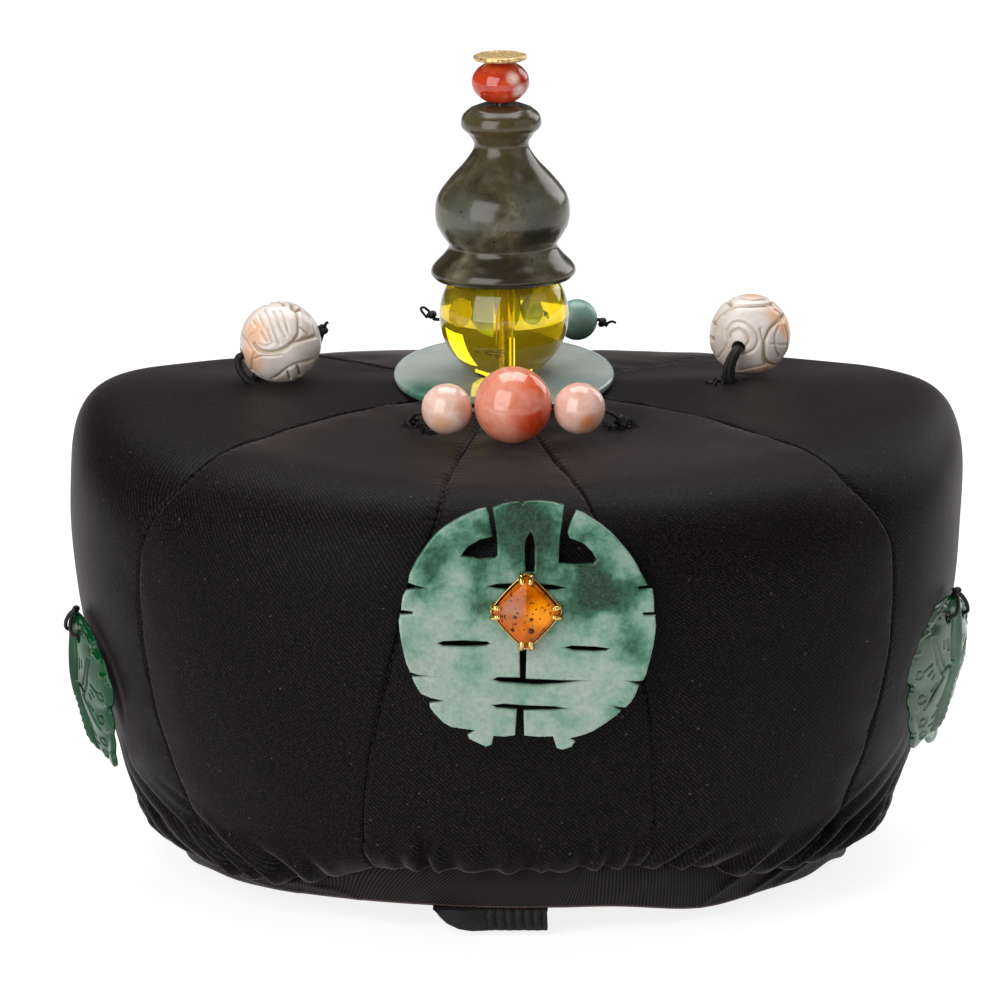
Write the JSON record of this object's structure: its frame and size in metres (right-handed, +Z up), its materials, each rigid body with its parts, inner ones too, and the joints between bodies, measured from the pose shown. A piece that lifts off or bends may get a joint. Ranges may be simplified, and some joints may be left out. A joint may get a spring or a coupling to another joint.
{
  "type": "jewelled satin toque hat",
  "caption": "Black satin toque with a puffed crown of gores on a ribbed headband, dressed with jade, amber and coral ornaments.",
  "frame": {"origin": "middle of the hat's foot print on the surface that it rests on", "axes": "+Z up, -Y to the front of the hat, +X to the right seen from the front"},
  "size_m": [0.2446, 0.2341, 0.2234],
  "materials": {
    "satin": "black satin, soft sheen",
    "ribbon": "ribbed black ribbon",
    "thread": "black waxed cotton thread",
    "pale_jade": "polished pale grey-green jade",
    "clear_amber": "polished clear yellow amber",
    "dark_jade": "polished dark olive jade",
    "red_coral": "polished red coral",
    "pink_coral": "polished pink coral",
    "pale_coral": "polished pale coral",
    "carved_coral": "carved cream coral",
    "teal_stone": "smooth blue-green stone",
    "mottled_jade": "polished mottled green jade",
    "orange_amber": "polished orange amber",
    "gold": "polished yellow gold",
    "gilt": "rubbed gilding",
    "green_jade": "carved deep green jade",
    "pin": "plain wire"
  },
  "bodies": {
    "root": {"crown_front": "satin", "crown_front_left": "satin", "crown_front_right": "satin", "crown_side_left": "satin", "crown_side_right": "satin", "crown_back": "satin", "crown_back_left": "satin", "crown_back_right": "satin", "headband": "ribbon", "ribbon_loop": "ribbon", "ribbon_tail": "ribbon", "jade_disc": "pale_jade", "amber_ball": "clear_amber", "jade_finial": "dark_jade", "coral_cap_bead": "red_coral", "gilt_cap": "gilt", "finial_pin": "pin", "coral_bead_left": "pale_coral", "coral_bead_centre": "pink_coral", "coral_bead_right": "pale_coral", "front_bead_thread": "thread", "teal_bead_left": "teal_stone", "teal_bead_centre": "teal_stone", "teal_bead_right": "teal_stone", "back_bead_thread": "thread", "carved_bead_left": "carved_coral", "carved_bead_right": "carved_coral", "carved_bead_cord_left": "thread", "carved_bead_cord_right": "thread", "jade_medallion": "mottled_jade", "gold_setting": "gold", "amber_stone": "orange_amber", "jade_butterfly_left": "green_jade", "jade_butterfly_right": "green_jade", "butterfly_tie_left": "thread", "butterfly_tie_right": "thread"}
  },
  "joints": []
}
